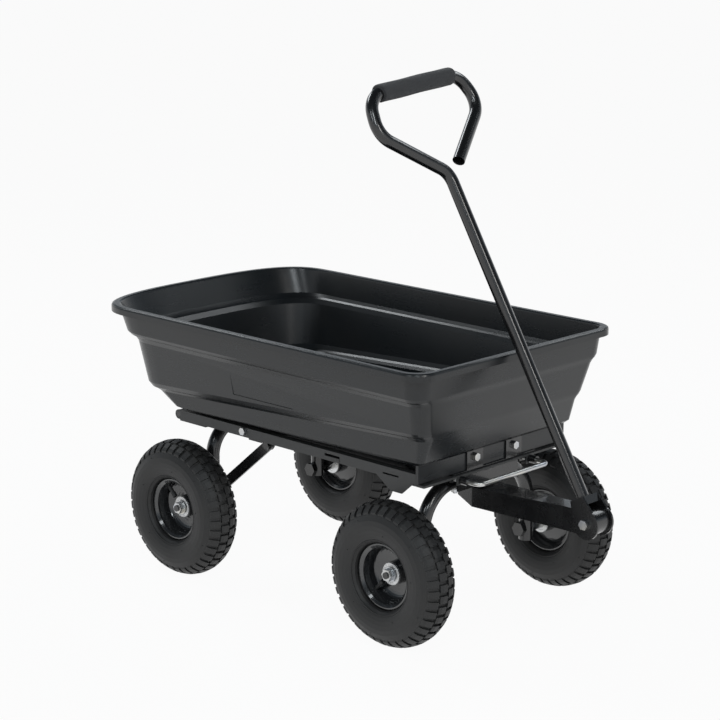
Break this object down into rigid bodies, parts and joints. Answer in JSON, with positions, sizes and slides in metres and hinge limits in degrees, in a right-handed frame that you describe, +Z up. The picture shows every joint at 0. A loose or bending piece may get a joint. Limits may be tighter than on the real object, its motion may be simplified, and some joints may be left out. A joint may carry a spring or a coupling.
{
  "type": "tipping dump cart",
  "caption": "Garden dump cart: a stepped moulded tub that tips on a steel chassis with pneumatic wheels, a steered front axle and a looped pull handle.",
  "frame": {"origin": "on the ground under the middle of the overall length and width", "axes": "+X towards the handle end, +Y towards the cart's left side, +Z up"},
  "size_m": [1.046, 0.53, 0.9691],
  "materials": {
    "tub_plastic": "satin moulded polyethylene",
    "rail_paint": "satin powder coat",
    "black_paint": "gloss powder coat",
    "zinc_plate": "bright zinc plate",
    "bearing_steel": "pressed steel",
    "tyre_rubber": "matt rubber",
    "tube_rubber": "smooth rubber",
    "grip_foam": "closed-cell foam"
  },
  "bodies": {
    "chassis": {"side_rail_left": "rail_paint", "side_rail_right": "rail_paint", "front_bolster": "black_paint", "latch_guides": "black_paint", "strut_crossmember": "black_paint", "rear_crossplate": "black_paint", "rear_axle_tube": "black_paint", "rear_axle_straps": "black_paint", "strap_bolts": "zinc_plate", "strut_left": "black_paint", "strut_right": "black_paint", "strut_bolts": "zinc_plate", "hinge_rod": "black_paint", "tub_rest_left": "black_paint", "tub_rest_right": "black_paint", "rail_bolts": "zinc_plate", "rear_stub_axles": "black_paint", "rear_axle_spacers": "zinc_plate", "rear_axle_nuts": "zinc_plate"},
    "tub": {"tub": "tub_plastic", "tub_hinge_bracket_left": "black_paint", "tub_hinge_bracket_right": "black_paint", "hinge_bracket_bolts": "zinc_plate", "catch_bracket": "black_paint", "catch_bolts": "zinc_plate"},
    "latch": {"latch_loop": "zinc_plate"},
    "steering": {"front_axle_tube": "black_paint", "steering_saddle": "black_paint", "turntable_ring": "zinc_plate", "king_pin": "zinc_plate", "king_pin_nut": "zinc_plate", "saddle_bolts": "zinc_plate", "tongue": "black_paint", "pivot_spacer": "zinc_plate", "front_stub_axles": "black_paint", "front_axle_spacers": "zinc_plate", "front_axle_nuts": "zinc_plate"},
    "handle": {"handle_tube": "black_paint", "handle_yoke": "black_paint", "handle_grip": "grip_foam", "pivot_bolt": "zinc_plate"},
    "wheel_front_left": {"tyre_front_left": "tyre_rubber", "inner_tube_front_left": "tube_rubber", "rim_front_left": "black_paint", "bearings_front_left": "bearing_steel"},
    "wheel_front_right": {"tyre_front_right": "tyre_rubber", "inner_tube_front_right": "tube_rubber", "rim_front_right": "black_paint", "bearings_front_right": "bearing_steel"},
    "wheel_rear_left": {"tyre_rear_left": "tyre_rubber", "inner_tube_rear_left": "tube_rubber", "rim_rear_left": "black_paint", "bearings_rear_left": "bearing_steel"},
    "wheel_rear_right": {"tyre_rear_right": "tyre_rubber", "inner_tube_rear_right": "tube_rubber", "rim_rear_right": "black_paint", "bearings_rear_right": "bearing_steel"}
  },
  "joints": [
    {"name": "tub_tip", "type": "hinge", "parent": "chassis", "child": "tub", "pos_m": [-0.347, 0, 0.298], "axis": [0, -1, 0], "range_deg": [0, 80]},
    {"name": "latch_slide", "type": "slide", "parent": "chassis", "child": "latch", "axis": [1, 0, 0], "range_m": [-0.01, 0]},
    {"name": "steering_turn", "type": "hinge", "parent": "chassis", "child": "steering", "pos_m": [0.234, 0, 0.26], "axis": [0, 0, 1], "range_deg": [-10, 30]},
    {"name": "handle_swing", "type": "hinge", "parent": "steering", "child": "handle", "pos_m": [0.496, 0, 0.232], "axis": [0, 1, 0], "range_deg": [0, 130]},
    {"name": "wheel_front_left_spin", "type": "hinge", "parent": "steering", "child": "wheel_front_left", "pos_m": [0.234, 0.217, 0.13], "axis": [0, 1, 0], "continuous": true},
    {"name": "wheel_front_right_spin", "type": "hinge", "parent": "steering", "child": "wheel_front_right", "pos_m": [0.234, -0.217, 0.13], "axis": [0, 1, 0], "continuous": true},
    {"name": "wheel_rear_left_spin", "type": "hinge", "parent": "chassis", "child": "wheel_rear_left", "pos_m": [-0.308, 0.217, 0.13], "axis": [0, 1, 0], "continuous": true},
    {"name": "wheel_rear_right_spin", "type": "hinge", "parent": "chassis", "child": "wheel_rear_right", "pos_m": [-0.308, -0.217, 0.13], "axis": [0, 1, 0], "continuous": true}
  ]
}
